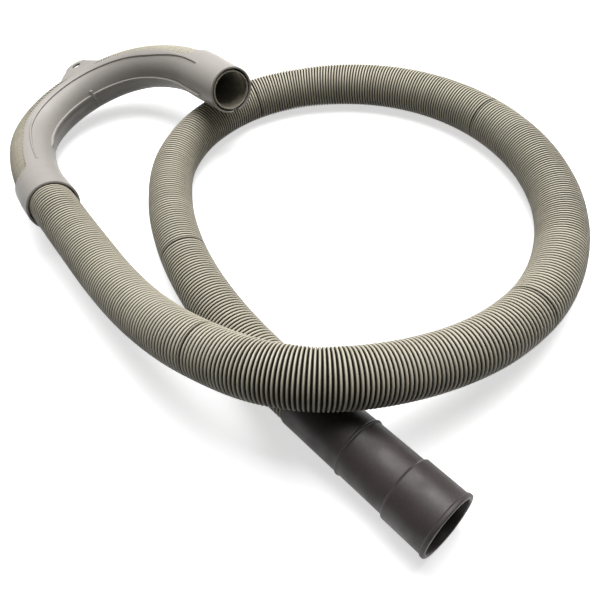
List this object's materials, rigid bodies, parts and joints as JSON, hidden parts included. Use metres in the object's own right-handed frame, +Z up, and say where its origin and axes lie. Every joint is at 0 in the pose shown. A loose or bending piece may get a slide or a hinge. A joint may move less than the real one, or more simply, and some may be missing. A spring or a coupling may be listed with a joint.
{
  "type": "washing machine drain hose",
  "caption": "Corrugated drain hose lying in one open loop, with a rubber pump cuff at one end and a moulded standpipe hook at the other.",
  "frame": {"origin": "middle of the floor under the whole object as it lies", "axes": "+Z is up from the floor, -Y is the way the cuff's mouth faces, and the hook lies towards +Y"},
  "size_m": [0.3229, 0.4775, 0.0725],
  "materials": {
    "hose_plastic": "semi-matt blown plastic with fine ribs",
    "hook_plastic": "satin moulded plastic",
    "cuff_rubber": "dull dark rubber"
  },
  "bodies": {
    "root": {"drain_hose": "hose_plastic", "hose_hook": "hook_plastic", "pump_cuff": "cuff_rubber"}
  },
  "joints": []
}
